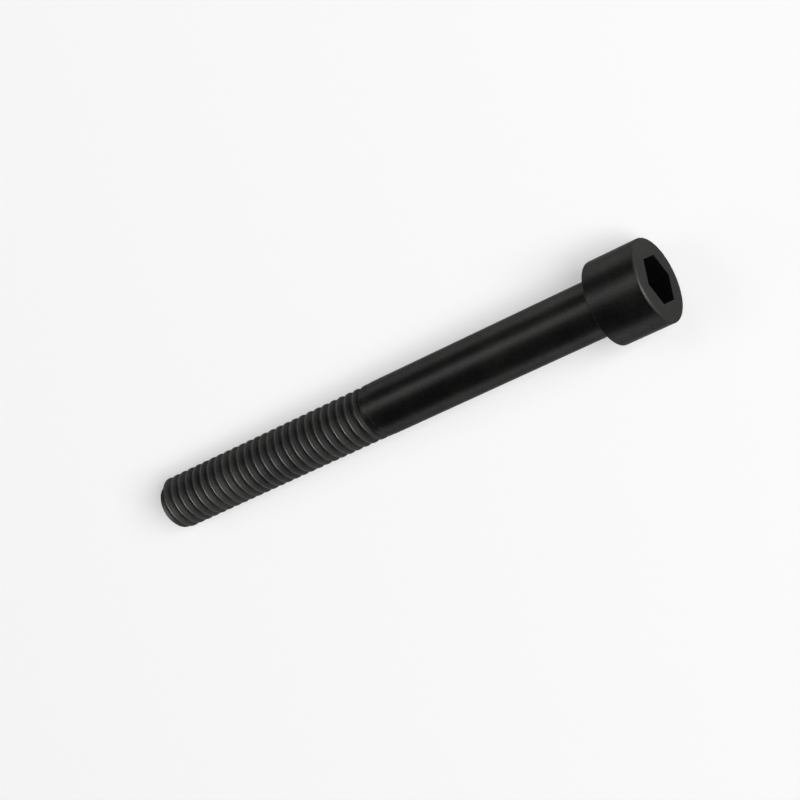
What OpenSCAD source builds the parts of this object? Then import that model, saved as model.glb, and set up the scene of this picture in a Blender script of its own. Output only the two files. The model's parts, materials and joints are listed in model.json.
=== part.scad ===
// Hex socket cap screw, 5/16-18 x 3 in, part threaded, lying on its side as it comes to rest.
// The screw is drawn upright, tip down on z = 0, and is then laid down with its head towards +X.
// Millimetres throughout.

/* [Head] */
// Diameter of the head
head_d = 11.9; // [11.4:0.05:14]
// Height of the head
head_h = 7.94; // [7:0.01:9.5]
// Radius of the round on the rim of the head's top face
top_round = 0.4; // [0.1:0.05:0.7]
// Radius of the round on the rim of the head's bearing face
rim_round = 0.18; // [0.05:0.01:0.4]

/* [Socket] */
// Distance across the flats of the hex socket
socket_af = 6.35; // [5:0.05:7.5]
// Depth of the socket's flat walls
socket_depth = 4.4; // [3:0.1:5.2]
// Depth of the shallow cone at the socket's bottom
socket_cone_depth = 0.5; // [0.2:0.05:0.8]
// Diameter of the cone at the socket's bottom
socket_cone_d = 5.6; // [3:0.1:5.8]

/* [Shank] */
// Length of the screw under its head
length = 76.2; // [55:0.1:120]
// Diameter of the smooth shank
shank_d = 7.9; // [7.5:0.01:8.4]
// Radius of the fillet between the shank and the bearing face
neck_fillet = 0.4; // [0.1:0.05:0.8]

/* [Thread] */
// Length of the threaded end, with its run-out
thread_len = 39; // [20:0.1:50]
// Diameter over the crests of the thread
thread_d = 7.82; // [7.2:0.01:8.3]
// Turns of thread in an inch of length
threads_per_inch = 18; // [16:1:22]
// Width of the flat on each crest
crest_flat = 0.176; // [0.05:0.001:0.3]
// Width of the flat in each root
root_flat = 0.235; // [0.05:0.001:0.3]
// Diameter of the flat face at the tip
tip_d = 6.2; // [4.5:0.1:6.8]
// Turn of the thread about the axis, in degrees
thread_turn = -16; // [-180:1:180]

/* [Hidden] */

// Millimetres in an inch
inch = 25.4;
// Angle between each flank of the thread and a plane across the axis
flank_angle = 30;
// Turns over which the groove gets shallower and runs out
run_out_turns = 1.2;
// Share of the depth that the groove keeps to its end, so that no two rows of corners meet
least_share = 0.02;
// Flat facets in a turn of the thread
thread_facets = 32;
// How far the threaded end reaches inside the smooth shank
overlap = 0.3;
// Rows of thread closer than this to either end are drawn into that end
row_margin = 0.08;
// How far a cutting shape stands proud of the face that it cuts
cut_margin = 1;
// Facets in a full turn of the smooth surfaces
smooth_facets = 96;
// Colour of black oxide on steel
black_oxide = [0.16, 0.16, 0.16];

head_r = head_d / 2;
shank_r = shank_d / 2;
crest_r = thread_d / 2;
tip_r = tip_d / 2;
pitch = inch / threads_per_inch;
thread_depth = (pitch - crest_flat - root_flat) / 2 / tan(flank_angle);
// The tip is chamfered at 45 degrees, so this is its length and its depth
tip_chamfer = crest_r - tip_r;

// Where the root line leaves the tip's plane on the side that the screw lies on
root_start = -pitch * thread_turn / 360;
// The groove ends just short of the smooth shank
groove_end = thread_len - root_flat / 2 - row_margin;

// Four rows of corners in each turn of the groove: [side of the root line, share of the depth]
PROFILE = [[-1, 0], [-1, 1], [1, 1], [1, 0]];
rows_per_turn = len(PROFILE);
rows = rows_per_turn * (ceil(thread_len / pitch) + 3);

// Height of the root line that a row belongs to, at a given facet
function root_z(facet, row) =
    root_start + pitch * (floor(row / rows_per_turn) - 2 + facet / thread_facets);

// Depth of the groove where its root line is at height z
function groove_depth(z) =
    thread_depth * max(least_share, min(1, (groove_end - z) / (pitch * run_out_turns)));

// The flanks keep their angle, so a shallower groove is narrower too
function row_z(facet, row) =
    let (
        root = root_z(facet, row),
        side = PROFILE[row % rows_per_turn][0],
        rise = groove_depth(root) * (1 - PROFILE[row % rows_per_turn][1])
    )
    root + side * (root_flat / 2 + rise * tan(flank_angle));

function row_r(facet, row) =
    let (drop = groove_depth(root_z(facet, row)) * PROFILE[row % rows_per_turn][1])
    min(crest_r - drop, tip_r + row_z(facet, row));

// A corner of the thread, drawn into the tip's plane or into the shank near the ends
function corner(facet, row) =
    let (
        z = row_z(facet, row),
        angle = 360 * facet / thread_facets,
        at_tip = z < row_margin,
        at_shank = z > thread_len - row_margin,
        r = at_tip ? tip_r : at_shank ? crest_r : row_r(facet, row)
    )
    [r * cos(angle), r * sin(angle), at_tip ? 0 : at_shank ? thread_len + overlap : z];

// The last row drawn into the tip and the first row drawn into the shank, for each facet
tip_rows = [for (f = [0 : thread_facets - 1])
    max([for (row = [0 : rows - 1]) if (row_z(f, row) < row_margin) row])];
shank_rows = [for (f = [0 : thread_facets - 1])
    min([for (row = [0 : rows - 1]) if (row_z(f, row) > thread_len - row_margin) row])];

// Number of a corner in the list of points; after a whole turn a row has climbed one pitch
function corner_id(facet, row) =
    let (
        f = facet % thread_facets,
        climbed = row + rows_per_turn * floor(facet / thread_facets),
        kept = max(tip_rows[f], min(shank_rows[f], climbed))
    )
    f * rows + kept;

function is_triangle(t) = t[0] != t[1] && t[1] != t[2] && t[2] != t[0];

// Angle at which the axis slopes, so that the bearing rim and the first whole crest both touch down
first_crest = root_start + (pitch + crest_flat) / 2;
rest_crest = first_crest + pitch * ceil((tip_chamfer - first_crest) / pitch);
rest_run = length + rim_round - rest_crest;
rest_rise = head_r - rim_round - crest_r;
rest_slope = atan2(rest_rise, rest_run) + asin(rim_round / norm([rest_run, rest_rise]));

// Place of the tip's centre, with the middle of the screw's length over the origin
tip_lift = crest_r * cos(rest_slope) - rest_crest * sin(rest_slope);
low_x = -tip_r * sin(rest_slope);
high_x = (length + head_h - top_round) * cos(rest_slope)
    + (head_r - top_round) * sin(rest_slope) + top_round;
tip_x = -(low_x + high_x) / 2;

module head_profile() {
    difference() {
        square([head_r, head_h]);
        translate([head_r - top_round, head_h - top_round]) square(cut_margin);
        translate([head_r - rim_round, rim_round - cut_margin]) square(cut_margin);
    }
    translate([head_r - top_round, head_h - top_round]) circle(r = top_round, $fn = smooth_facets);
    translate([head_r - rim_round, rim_round]) circle(r = rim_round, $fn = smooth_facets);
}

module neck_fillet_profile() {
    difference() {
        translate([shank_r, -neck_fillet]) square(neck_fillet);
        translate([shank_r + neck_fillet, -neck_fillet]) circle(r = neck_fillet, $fn = smooth_facets);
    }
}

module smooth_body() {
    translate([0, 0, length])
        rotate_extrude($fn = smooth_facets) {
            head_profile();
            neck_fillet_profile();
            translate([0, thread_len - length]) square([shank_r, length - thread_len]);
        }
}

// The threaded end is one closed solid: its helical surface, the tip and a face inside the shank
module threaded_end() {
    points = [for (f = [0 : thread_facets - 1], row = [0 : rows - 1]) corner(f, row)];
    helix = [
        for (f = [0 : thread_facets - 1], row = [0 : rows - 2])
            let (
                a = corner_id(f, row),
                b = corner_id(f + 1, row),
                c = corner_id(f + 1, row + 1),
                d = corner_id(f, row + 1)
            )
            for (triangle = [[a, d, c], [a, c, b]])
                if (is_triangle(triangle)) triangle
    ];
    tip = [for (f = [0 : thread_facets - 1]) corner_id(f, 0)];
    inner_face = [for (f = [thread_facets - 1 : -1 : 0]) corner_id(f, rows - 1)];
    polyhedron(points = points, faces = concat(helix, [tip, inner_face]), convexity = 4);
}

module hex_socket() {
    translate([0, 0, length + head_h - socket_depth]) {
        cylinder(h = socket_depth + cut_margin, d = socket_af / cos(30), $fn = 6);
        translate([0, 0, -socket_cone_depth])
            cylinder(h = socket_cone_depth, d1 = 0, d2 = socket_cone_d, $fn = smooth_facets);
    }
}

module cap_screw() {
    color(black_oxide)
        translate([tip_x, 0, tip_lift])
            rotate([0, 90 - rest_slope, 0])
                difference() {
                    union() {
                        smooth_body();
                        threaded_end();
                    }
                    hex_socket();
                }
}

cap_screw();
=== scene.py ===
"""Black oxide hex socket cap screw, lying on a pale floor and seen from above its head."""

import json
import math

import bmesh
import bpy
from mathutils import Matrix, Vector


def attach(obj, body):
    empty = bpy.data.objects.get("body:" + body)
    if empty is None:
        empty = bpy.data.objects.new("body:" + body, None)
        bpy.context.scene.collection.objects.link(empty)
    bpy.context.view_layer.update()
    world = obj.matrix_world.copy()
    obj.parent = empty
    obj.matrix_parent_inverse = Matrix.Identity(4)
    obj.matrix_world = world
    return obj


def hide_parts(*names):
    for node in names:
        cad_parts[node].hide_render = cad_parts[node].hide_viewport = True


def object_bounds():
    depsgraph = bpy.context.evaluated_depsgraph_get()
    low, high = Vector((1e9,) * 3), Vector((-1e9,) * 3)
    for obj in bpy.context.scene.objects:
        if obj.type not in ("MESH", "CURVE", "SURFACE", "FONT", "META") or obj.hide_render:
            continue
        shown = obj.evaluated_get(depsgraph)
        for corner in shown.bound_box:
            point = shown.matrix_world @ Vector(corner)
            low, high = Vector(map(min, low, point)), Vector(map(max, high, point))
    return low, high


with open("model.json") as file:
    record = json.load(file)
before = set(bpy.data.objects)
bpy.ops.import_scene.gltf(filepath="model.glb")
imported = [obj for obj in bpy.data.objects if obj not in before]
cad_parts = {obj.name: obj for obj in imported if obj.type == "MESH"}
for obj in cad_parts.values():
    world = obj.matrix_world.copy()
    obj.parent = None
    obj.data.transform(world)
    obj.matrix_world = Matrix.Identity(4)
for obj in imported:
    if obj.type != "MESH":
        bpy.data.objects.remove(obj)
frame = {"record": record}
CAD_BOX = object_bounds()

MM = 0.001
INCH = 25.4

# The screw's sizes, in millimetres
HEAD_R = 5.95
HEAD_H = 7.94
TOP_ROUND = 0.4
RIM_ROUND = 0.18
SOCKET_AF = 6.35
SOCKET_DEPTH = 4.4
SOCKET_CONE_DEPTH = 0.5
SOCKET_CONE_R = 2.8
LENGTH = 76.2
SHANK_R = 3.95
NECK_FILLET = 0.4
THREAD_LEN = 39.0
CREST_R = 3.91
THREADS_PER_INCH = 18
CREST_FLAT = 0.176
ROOT_FLAT = 0.235
TIP_R = 3.1
# Length of the cone from the shank to the slightly thinner thread
STEP_LENGTH = 0.5
# Radii on the edges of the thread's crests and in the corners of its roots
CREST_EDGE_ROUND = 0.13
ROOT_CORNER_ROUND = 0.05
# How far short of the smooth shank the groove ends
END_GAP = 0.08

# Turn of the thread about the axis, in degrees, counted at the side that the screw lies on
THREAD_TURN = -16
# Angle between each flank of the thread and a plane across the axis
FLANK_ANGLE = math.radians(30)
# Turns over which the groove gets shallower, and the share of the depth that it keeps to its end
RUN_OUT_TURNS = 1.2
LEAST_SHARE = 0.02

# Distances along the axis are counted from the head's top face to the tip
TOTAL = HEAD_H + LENGTH
THREAD_START = TOTAL - THREAD_LEN
PITCH = INCH / THREADS_PER_INCH
HALF_ROOT = ROOT_FLAT / 2
THREAD_DEPTH = (PITCH - CREST_FLAT - ROOT_FLAT) / 2 / math.tan(FLANK_ANGLE)
GROOVE_END = THREAD_START + HALF_ROOT + END_GAP

# Facets in a turn, on each round of the body and on each small round of the thread
COLUMNS = 96
ROUND_STEPS = 6
CORNER_STEPS = 4
# How far past each end of a round a ring holds the shading of the straight stretch beside it
HOLD = 0.05
# Share of the tip's radius at which a ring holds the shading of its flat face
TIP_HOLD = 0.9
# Whole turns of thread that are worked out past each end and drawn into it
SPARE_TURNS = 2
# Points of the thread closer than this to either end are drawn into it too
END_MARGIN = 0.01
# Edges sharper than this are shaded as edges
SHARP_ANGLE = math.radians(33)

# Wear and dullness are stored in the mesh as shares, from 0 to 1, of what the material shows.
# Wear of the socket's edge, and how far out from it that fades to the wear of the top face
SOCKET_EDGE_WEAR = 0.5
SOCKET_EDGE_WIDTH = 0.12
# Wear of the head's top face, which fades out over its round
TOP_WEAR = 0.3
# Dullness of the middle of that round
TOP_ROUGH = 0.8
# Dullness of the rubbed crest edges
CREST_ROUGH = 0.35
# Share of each flank, from the root up, that is not rubbed
FLANK_SHARE = 0.85

# Colours of the oxide, from its dark to its light patches, and of the steel where it is rubbed
SMOOTH_DARK = (0.039, 0.0392, 0.039)
SMOOTH_LIGHT = (0.061, 0.0592, 0.0562)
FLANK_DARK = (0.04, 0.04, 0.0395)
FLANK_LIGHT = (0.067, 0.0665, 0.0645)
RUBBED = (0.082, 0.0814, 0.08)
# How much of its reflection the steel keeps where it is seen at a low angle
EDGE_TINT = (0.45, 0.45, 0.45)
# Scale of the cloudy patches and of the fine grain, to the metre, and the detail of each
CLOUD_NOISE = (180.0, 4.0)
GRAIN_NOISE = (2600.0, 3.0)
# Share of the grain in the patches, and the part of their noise between dark and light
GRAIN_SHARE = 0.4
PATCH_RANGE = (0.37, 0.66)
# Roughness in the dark and in the light patches, and what full dullness adds
ROUGHNESS = (0.34, 0.4)
DULL_ROUGHNESS = 0.22
# Strength of the grain's bump, and its height in metres
BUMP_STRENGTH = 0.5
BUMP_HEIGHT = 0.00001

# The camera, solved from the photograph, with distances in units of the shank's diameter
PHOTO_SIZE = 800
FOCAL_PIXELS = 2206.85
SENSOR = 36.0
# The diameter at which the solved proportions fit the real sizes
MEASURED_D = 7.905 * MM
# Place of the head's top face in the camera's view: to the right, down and ahead
HEAD_IN_VIEW = Vector((4.180, -1.948, 35.646)) * MEASURED_D
# Direction of the axis in the picture, clockwise from the right, and its slope away from the camera
AXIS_TURN = math.radians(155.0)
AXIS_DEPTH = math.radians(30.01)
# Nearest and furthest distance that the camera sees, in metres
CLIP = (0.01, 50)

# Half the floor's width, in metres, and its finish
FLOOR_HALF = 3.0
FLOOR_COLOUR = (0.93, 0.93, 0.93)
FLOOR_ROUGHNESS = 0.9
# How far the floor is lifted towards white where it is seen, directly or in the steel: by this
# share up to the first distance from the screw, in metres, and fully from the second
FLOOR_LIFT = 0.4
LIFT_RISES = (0.25, 1.0)

# Distance of every lamp from the screw, in metres
LAMP_DISTANCE = 2.0
# Strength of the world overhead and at the horizon, and the rises of a direction, as shares of
# its length, between which it changes
OVERHEAD = 0.05
HORIZON = 1.0
SKY_RISES = (0.02, 0.16)

WHITE = (1.0, 1.0, 1.0)


def mount(name):
    """The place and the direction that the record gives for a mount."""
    found = next(m for m in frame["record"]["mounts"] if m["name"] == name)
    return Vector(found["pos_m"]), Vector(found["axis"]).normalized()


# The screw's own directions: down its length, to the near side and up
HEAD_TOP, TO_HEAD = mount("hex_drive")
TO_TIP = -TO_HEAD
SIDE = TO_TIP.cross(Vector((0, 0, -1))).normalized()
UP = TO_TIP.cross(SIDE)


def place(along, radius, angle):
    """A point of the screw, with its angle counted from the near side over the top."""
    out = SIDE * math.cos(angle) + UP * math.sin(angle)
    return HEAD_TOP + (TO_TIP * along + out * radius) * MM


def arc(centre, radius, start, end):
    """Points (along, radius) on a round and HOLD past its ends, with its angles in degrees,
    counted from outwards to the tip."""
    points = []
    for i in range(ROUND_STEPS + 1):
        t = math.radians(start + (end - start) * i / ROUND_STEPS)
        points.append((centre[0] + radius * math.sin(t), centre[1] + radius * math.cos(t)))
    hold = math.copysign(HOLD, end - start)
    before = math.radians(start)
    after = math.radians(end)
    first = (points[0][0] - hold * math.cos(before), points[0][1] + hold * math.sin(before))
    last = (points[-1][0] + hold * math.cos(after), points[-1][1] - hold * math.sin(after))
    return [first, *points, last]


def top_profile():
    """The round on the rim of the top face: points of (along, radius, wear, rough)."""
    profile = []
    for i, point in enumerate(arc((TOP_ROUND, HEAD_R - TOP_ROUND), TOP_ROUND, -90, 0)):
        share = max(0.0, min(1.0, (i - 1) / ROUND_STEPS))
        profile.append((*point, TOP_WEAR * (1 - share), TOP_ROUGH * math.sin(math.pi * share)))
    return profile


def body_profile():
    """The smooth outline from the bearing rim to the cone before the thread."""
    rim = arc((HEAD_H - RIM_ROUND, HEAD_R - RIM_ROUND), RIM_ROUND, 0, 90)
    neck = arc((HEAD_H + NECK_FILLET, SHANK_R + NECK_FILLET), NECK_FILLET, 270, 180)
    shank_end = THREAD_START - STEP_LENGTH
    return rim + neck + [(shank_end - HOLD, SHANK_R), (shank_end, SHANK_R)]


def groove_profile(share):
    """The outline across a groove: points of (along, drop, wear, rough) at a share of its depth.

    Each half runs from the root's corner up the flank and over the crest's edge."""
    depth = THREAD_DEPTH * share
    root_round = ROOT_CORNER_ROUND * share
    edge_round = CREST_EDGE_ROUND * share
    edge = HALF_ROOT + depth * math.tan(FLANK_ANGLE)
    turn = math.pi / 2 - FLANK_ANGLE
    # How far before its corner a round of radius 1 starts
    reach = math.tan(turn / 2)
    half = []
    for i in range(CORNER_STEPS + 1):
        t = turn * i / CORNER_STEPS
        along = HALF_ROOT - root_round * (reach - math.sin(t))
        half.append((along, depth - root_round * (1 - math.cos(t)), 0.0, share))
    crest = []
    for i in range(CORNER_STEPS):
        t = turn * (1 - i / CORNER_STEPS)
        along = edge + edge_round * (reach - math.sin(t))
        crest.append((along, edge_round * (1 - math.cos(t)), share, CREST_ROUGH * share))
    outer = (edge + edge_round * reach, 0.0, 0.0, 0.0)
    # The point on the flank below which nothing is rubbed
    below = [low + (high - low) * FLANK_SHARE for low, high in zip(half[-1][:2], crest[0][:2])]
    half += [(*below, 0.0, share), *crest, outer]
    mirrored = [(-along, drop, wear, rough) for along, drop, wear, rough in reversed(half)]
    return mirrored + half


def socket_radius(angle):
    """Distance from the axis to the socket's wall, with one corner pointing up."""
    sector = math.pi / 3
    from_flat = (angle - math.pi / 2) % sector - sector / 2
    return SOCKET_AF / 2 / math.cos(from_flat)


def angle_of(column):
    """The angle of a column of points, counted from the near side over the top."""
    return 2 * math.pi * column / COLUMNS


class Rings:
    """A mesh grown ring by ring round the screw's axis."""

    def __init__(self):
        self.points = []
        self.wear = []
        self.rough = []
        self.faces = []
        self.last = None

    def point(self, along, radius, angle, wear=0.0, rough=0.0):
        """Adds a point and gives its number."""
        self.points.append(place(along, radius, angle))
        self.wear.append(wear)
        self.rough.append(rough)
        return len(self.points) - 1

    def join(self, ring):
        """Adds the faces between the last ring and a new one."""
        if self.last is not None:
            for i in range(COLUMNS):
                k = (i + 1) % COLUMNS
                self.faces.append((self.last[i], self.last[k], ring[k], ring[i]))
        self.last = ring

    def ring(self, along, radius, wear=0.0, rough=0.0):
        """Adds a ring, whose radius is a number or a function of the angle."""
        ids = []
        for i in range(COLUMNS):
            r = radius(angle_of(i)) if callable(radius) else radius
            ids.append(self.point(along, r, angle_of(i), wear, rough))
        self.join(ids)

    def cap(self, along):
        """Closes the mesh at the last ring with a point on the axis."""
        centre = self.point(along, 0.0, 0.0)
        for i in range(COLUMNS):
            self.faces.append((centre, self.last[i], self.last[(i + 1) % COLUMNS]))


def root_line(turn):
    """Where the root line lies, with its turns counted from the near side at the tip's plane."""
    at_low_side = TOTAL + PITCH * THREAD_TURN / 360
    # The near side is a quarter turn on from the side that the screw lies on
    return at_low_side + PITCH / 4 + PITCH * turn


def groove_share(root):
    """Share of the full depth, which fades along the last part of the groove."""
    return max(LEAST_SHARE, min(1.0, (root - GROOVE_END) / (PITCH * RUN_OUT_TURNS)))


def thread_column(mesh, column):
    """The thread's points at one angle, from the shank's end to the edge of the tip's face."""
    angle = angle_of(column)
    first = mesh.point(THREAD_START, CREST_R, angle)
    last = mesh.point(TOTAL, TIP_R, angle)
    ids = []
    for turn in range(-math.ceil(THREAD_LEN / PITCH) - SPARE_TURNS, SPARE_TURNS):
        root = root_line(turn + column / COLUMNS)
        for offset, drop, wear, rough in groove_profile(groove_share(root)):
            along = root + offset
            if along < THREAD_START + END_MARGIN:
                ids.append(first)
            elif along > TOTAL - END_MARGIN:
                ids.append(last)
            else:
                radius = min(CREST_R - drop, TIP_R + TOTAL - along)
                ids.append(mesh.point(along, radius, angle, wear, rough))
    return ids


def add_thread(mesh):
    """The helical surface, whose rows climb by one turn of points where the columns close."""
    columns = [thread_column(mesh, i) for i in range(COLUMNS)]
    points_per_turn = len(groove_profile(1.0))
    end = len(columns[0]) - 1
    for i, column in enumerate(columns):
        k = (i + 1) % COLUMNS
        climbed = points_per_turn if k == 0 else 0
        for row in range(end):
            corners = [
                column[row],
                columns[k][min(row + climbed, end)],
                columns[k][min(row + climbed + 1, end)],
                column[row + 1],
            ]
            kept = [v for n, v in enumerate(corners) if v != corners[n - 1]]
            if len(kept) > 2:
                mesh.faces.append(tuple(kept))
    mesh.join([column[0] for column in columns])
    mesh.last = [column[-1] for column in columns]


def screw_rings():
    """The whole closed surface: socket, head, shank, thread and tip."""
    mesh = Rings()
    mesh.ring(SOCKET_DEPTH, SOCKET_CONE_R)
    mesh.cap(SOCKET_DEPTH + SOCKET_CONE_DEPTH)
    mesh.ring(SOCKET_DEPTH, socket_radius)
    mesh.ring(0.0, socket_radius, SOCKET_EDGE_WEAR)
    mesh.ring(0.0, lambda angle: socket_radius(angle) + SOCKET_EDGE_WIDTH, TOP_WEAR)
    for along, radius, wear, rough in top_profile():
        mesh.ring(along, radius, wear, rough)
    for along, radius in body_profile():
        mesh.ring(along, radius)
    add_thread(mesh)
    mesh.ring(TOTAL, TIP_R * TIP_HOLD)
    mesh.cap(TOTAL)
    return mesh


def make_screw():
    """The screw as one object, with its wear and its dullness stored at each point."""
    mesh = screw_rings()
    data = bpy.data.meshes.new("cap_screw_surface")
    data.from_pydata([tuple(p) for p in mesh.points], [], mesh.faces)
    for name, values in (("wear", mesh.wear), ("rough", mesh.rough)):
        attribute = data.attributes.new(name, "FLOAT", "POINT")
        attribute.data.foreach_set("value", values)
    work = bmesh.new()
    work.from_mesh(data)
    bmesh.ops.recalc_face_normals(work, faces=work.faces)
    work.to_mesh(data)
    work.free()
    data.polygons.foreach_set("use_smooth", [True] * len(data.polygons))
    data.set_sharp_from_angle(angle=SHARP_ANGLE)
    data.materials.append(black_oxide())
    screw = bpy.data.objects.new("cap_screw_surface", data)
    bpy.context.scene.collection.objects.link(screw)
    return screw


def new_material(name):
    """A material with its nodes on, and its node tree."""
    material = bpy.data.materials.new(name)
    material.use_nodes = True
    return material, material.node_tree


def between(tree, value, target, source=(0.0, 1.0), kind="LINEAR"):
    """The output of a node that takes a value from one range to another and keeps it there."""
    node = tree.nodes.new("ShaderNodeMapRange")
    node.interpolation_type = kind
    names = ("From Min", "From Max", "To Min", "To Max")
    for name, number in zip(names, (*source, *target)):
        node.inputs[name].default_value = number
    tree.links.new(value, node.inputs["Value"])
    return node.outputs["Result"]


def combine(tree, operation, first, second):
    """The output of a node that works out the sum, the product or the larger of two values."""
    node = tree.nodes.new("ShaderNodeMath")
    node.operation = operation
    tree.links.new(first, node.inputs[0])
    tree.links.new(second, node.inputs[1])
    return node.outputs["Value"]


def mix_colours(tree, amount, first, second):
    """A mix of two colours, each given as a tuple or as a node's output."""
    node = tree.nodes.new("ShaderNodeMix")
    node.data_type = "RGBA"
    tree.links.new(amount, node.inputs["Factor"])
    for name, colour in (("A", first), ("B", second)):
        if isinstance(colour, tuple):
            node.inputs[name].default_value = (*colour, 1)
        else:
            tree.links.new(colour, node.inputs[name])
    return node.outputs["Result"]


def black_oxide():
    """Satin black oxide on steel: cloudy, grainy, duller on the thread and rubbed on its crests."""
    material, tree = new_material("black_oxide_steel")
    shader = tree.nodes["Principled BSDF"]
    shader.inputs["Metallic"].default_value = 1.0
    shader.inputs["Specular Tint"].default_value = (*EDGE_TINT, 1)
    where = tree.nodes.new("ShaderNodeTexCoord")

    def noise(scale, detail):
        node = tree.nodes.new("ShaderNodeTexNoise")
        node.inputs["Scale"].default_value = scale
        node.inputs["Detail"].default_value = detail
        tree.links.new(where.outputs["Object"], node.inputs["Vector"])
        return node.outputs["Fac"]

    def stored(name):
        node = tree.nodes.new("ShaderNodeAttribute")
        node.attribute_name = name
        return node.outputs["Fac"]

    grain = noise(*GRAIN_NOISE)
    mottle = tree.nodes.new("ShaderNodeMix")
    mottle.inputs["Factor"].default_value = GRAIN_SHARE
    tree.links.new(noise(*CLOUD_NOISE), mottle.inputs["A"])
    tree.links.new(grain, mottle.inputs["B"])
    patches = between(tree, mottle.outputs["Result"], (0.0, 1.0), PATCH_RANGE)

    smooth = mix_colours(tree, patches, SMOOTH_DARK, SMOOTH_LIGHT)
    flank = mix_colours(tree, patches, FLANK_DARK, FLANK_LIGHT)
    duller = mix_colours(tree, stored("rough"), smooth, flank)
    rubbed = mix_colours(tree, stored("wear"), duller, RUBBED)
    tree.links.new(rubbed, shader.inputs["Base Color"])

    satin = between(tree, patches, ROUGHNESS)
    dullness = between(tree, stored("rough"), (0.0, DULL_ROUGHNESS))
    tree.links.new(combine(tree, "ADD", satin, dullness), shader.inputs["Roughness"])

    bump = tree.nodes.new("ShaderNodeBump")
    bump.inputs["Strength"].default_value = BUMP_STRENGTH
    bump.inputs["Distance"].default_value = BUMP_HEIGHT
    tree.links.new(grain, bump.inputs["Height"])
    tree.links.new(bump.outputs["Normal"], shader.inputs["Normal"])
    return material


def make_camera():
    """Puts the camera where it sees the screw as the photograph does."""
    axis = Vector((
        math.cos(AXIS_DEPTH) * math.cos(AXIS_TURN),
        math.cos(AXIS_DEPTH) * math.sin(AXIS_TURN),
        math.sin(AXIS_DEPTH),
    ))
    side = axis.cross(Vector((0, 0, 1))).normalized()
    up = axis.cross(side)
    # The screw's own directions, as the camera sees them and as they are in the world
    seen = Matrix((axis, side, up))
    real = Matrix((TO_TIP, SIDE, UP))
    to_world = real.transposed() @ seen
    right, down, ahead = (to_world @ Vector(v) for v in ((1, 0, 0), (0, 1, 0), (0, 0, 1)))
    data = bpy.data.cameras.new("camera")
    data.sensor_width = SENSOR
    data.lens = SENSOR * FOCAL_PIXELS / PHOTO_SIZE
    data.clip_start, data.clip_end = CLIP
    camera = bpy.data.objects.new("camera", data)
    turn = Matrix((right, -down, -ahead)).transposed()
    camera.matrix_world = Matrix.Translation(HEAD_TOP - to_world @ HEAD_IN_VIEW) @ turn.to_4x4()
    bpy.context.scene.collection.objects.link(camera)
    bpy.context.scene.camera = camera


def pale_floor():
    """A matt pale surface, lifted towards white for camera, glossy and transmission rays."""
    material, tree = new_material("pale_floor")
    shader = tree.nodes["Principled BSDF"]
    shader.inputs["Base Color"].default_value = (*FLOOR_COLOUR, 1)
    shader.inputs["Roughness"].default_value = FLOOR_ROUGHNESS
    shader.inputs["Specular IOR Level"].default_value = 0.0
    white = tree.nodes.new("ShaderNodeEmission")
    white.inputs["Color"].default_value = (*WHITE, 1)
    white.inputs["Strength"].default_value = 1.0

    ray = tree.nodes.new("ShaderNodeLightPath")
    seen = ray.outputs["Is Camera Ray"]
    for name in ("Is Glossy Ray", "Is Transmission Ray"):
        seen = combine(tree, "MAXIMUM", seen, ray.outputs[name])
    where = tree.nodes.new("ShaderNodeTexCoord")
    distance = tree.nodes.new("ShaderNodeVectorMath")
    distance.operation = "LENGTH"
    tree.links.new(where.outputs["Object"], distance.inputs[0])
    share = between(tree, distance.outputs["Value"], (FLOOR_LIFT, 1.0), LIFT_RISES, "SMOOTHSTEP")

    blend = tree.nodes.new("ShaderNodeMixShader")
    tree.links.new(combine(tree, "MULTIPLY", seen, share), blend.inputs["Fac"])
    tree.links.new(shader.outputs["BSDF"], blend.inputs[1])
    tree.links.new(white.outputs["Emission"], blend.inputs[2])
    tree.links.new(blend.outputs["Shader"], tree.nodes["Material Output"].inputs["Surface"])
    return material


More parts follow.
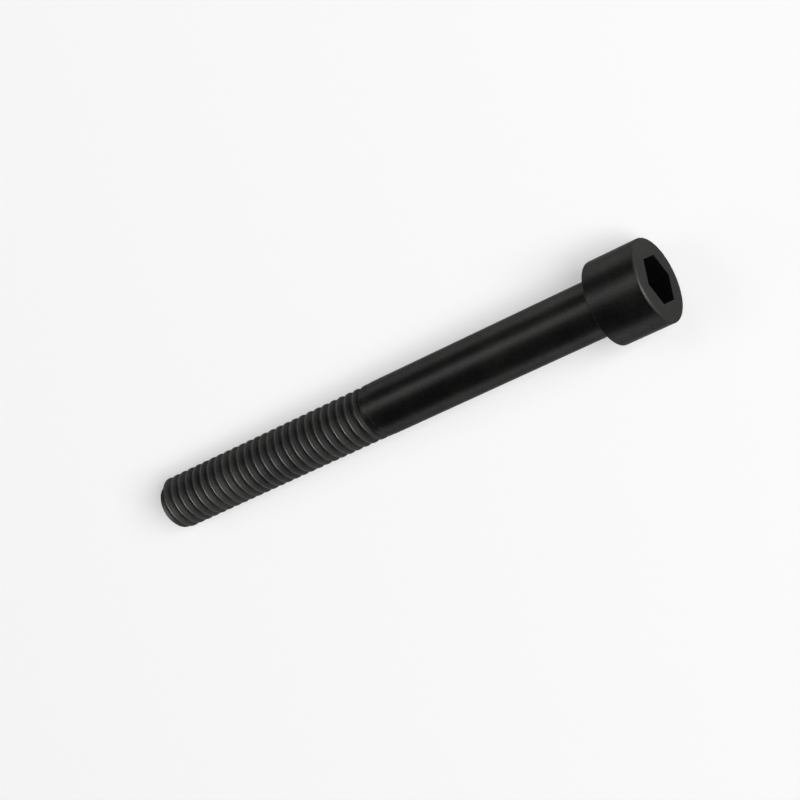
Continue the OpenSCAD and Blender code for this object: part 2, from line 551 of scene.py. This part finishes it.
def make_floor():
    """A plain pale floor, which keeps the screw's shadow."""
    data = bpy.data.meshes.new("floor")
    corners = [(x * FLOOR_HALF, y * FLOOR_HALF, 0) for x, y in ((-1, -1), (1, -1), (1, 1), (-1, 1))]
    data.from_pydata(corners, [], [(0, 1, 2, 3)])
    data.materials.append(pale_floor())
    floor = bpy.data.objects.new("floor", data)
    bpy.context.scene.collection.objects.link(floor)


def make_lamp(name, towards, size, power):
    """A square soft lamp, seen from the middle of the screw in the given direction."""
    centre = (CAD_BOX[0] + CAD_BOX[1]) / 2
    data = bpy.data.lights.new(name, "AREA")
    data.shape = "SQUARE"
    data.size = size
    data.energy = power
    lamp = bpy.data.objects.new(name, data)
    direction = Vector(towards).normalized()
    lamp.location = centre + direction * LAMP_DISTANCE
    lamp.rotation_mode = "QUATERNION"
    lamp.rotation_quaternion = direction.to_track_quat("Z", "Y")
    bpy.context.scene.collection.objects.link(lamp)


def make_world():
    """Dim overhead and pale at the horizon, as in a studio with a low backdrop."""
    world = bpy.data.worlds.new("studio")
    world.use_nodes = True
    bpy.context.scene.world = world
    tree = world.node_tree
    where = tree.nodes.new("ShaderNodeTexCoord")
    parts = tree.nodes.new("ShaderNodeSeparateXYZ")
    tree.links.new(where.outputs["Generated"], parts.inputs["Vector"])
    fade = between(tree, parts.outputs["Z"], (HORIZON, OVERHEAD), SKY_RISES, "SMOOTHSTEP")
    background = tree.nodes["Background"]
    background.inputs["Color"].default_value = (*WHITE, 1)
    tree.links.new(fade, background.inputs["Strength"])


def make_light():
    """A key lamp beyond the head, two small lamps for the long highlight, and two weak fills."""
    make_lamp("key_lamp", towards=(0.7, -0.14, 0.7), size=1.2, power=49.5)
    make_lamp("highlight_lamp", towards=(-0.5, 0.42, 0.757), size=0.6, power=1.8)
    make_lamp("second_highlight_lamp", towards=(-0.5, 0.25, 0.82), size=0.7, power=1.4)
    make_lamp("top_lamp", towards=(0, 0.45, 0.89), size=0.9, power=2.5)
    make_lamp("tip_lamp", towards=(-0.9, 0.1, 0.4), size=0.9, power=1.5)
    make_world()


screw = make_screw()
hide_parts("cap_screw")
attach(screw, "root")

make_camera()
make_floor()
make_light()

bpy.context.scene.view_settings.view_transform = "Standard"
